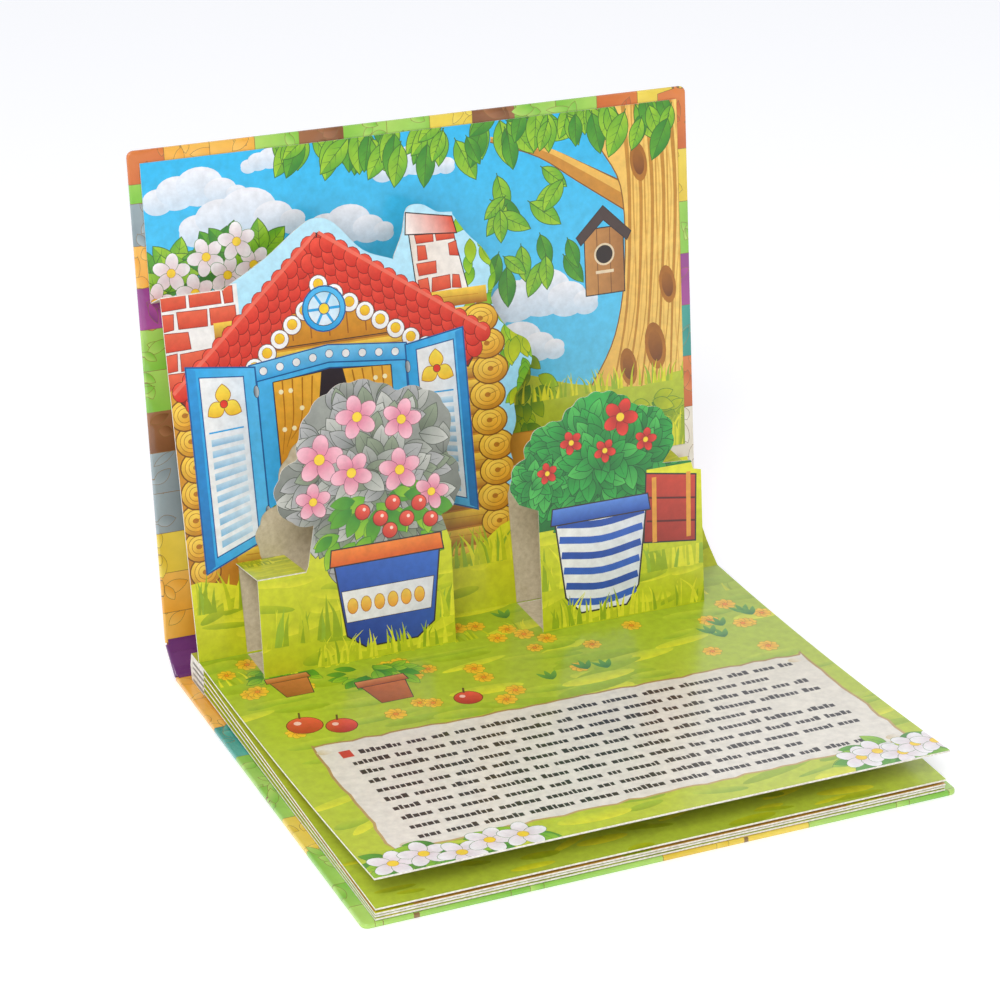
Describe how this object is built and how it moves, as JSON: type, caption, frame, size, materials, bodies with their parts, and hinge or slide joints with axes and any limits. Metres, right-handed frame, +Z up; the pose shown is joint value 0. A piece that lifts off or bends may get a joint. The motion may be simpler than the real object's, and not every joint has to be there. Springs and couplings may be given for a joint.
{
  "type": "pop-up book",
  "caption": "Hardback pop-up book for children, standing open at its first spread: upright sky page, folded die-cut house wall and stepped cards over the floor page.",
  "frame": {"origin": "centre of the footprint, on the table plane under the back cover", "axes": "+X along the gutter, to the reader's right; +Y away from the reader, towards the standing front cover; +Z up"},
  "size_m": [0.262, 0.2616, 0.2282],
  "materials": {
    "cover_board": "laminated print over grey board, satin to glossy",
    "spine_board": "laminated print over grey board, satin to glossy",
    "sky_card": "glossy varnished print on thin card",
    "printed_card": "glossy varnished print on thin card, unprinted reverse",
    "leaf_card": "cut edges of white-cored card"
  },
  "bodies": {
    "book": {"back_cover": "cover_board", "page_block": "leaf_card", "open_spread": "printed_card"},
    "spine": {"spine": "spine_board"},
    "cover": {"front_cover": "cover_board", "sky_page": "sky_card"}
  },
  "joints": [
    {"name": "spine_hinge", "type": "hinge", "parent": "book", "child": "spine", "pos_m": [0, 0.08684, 0.0022], "axis": [1, 0, 0], "range_deg": [-41.07, 48.93]},
    {"name": "front_cover_hinge", "type": "hinge", "parent": "spine", "child": "cover", "pos_m": [0, 0.09883, 0.01265], "axis": [1, 0, 0], "range_deg": [-41.07, 48.93], "deforming": ["open_spread"]}
  ],
  "couplings": [
    {"joint": "spine_hinge", "follows": "front_cover_hinge", "ratio": 1}
  ]
}
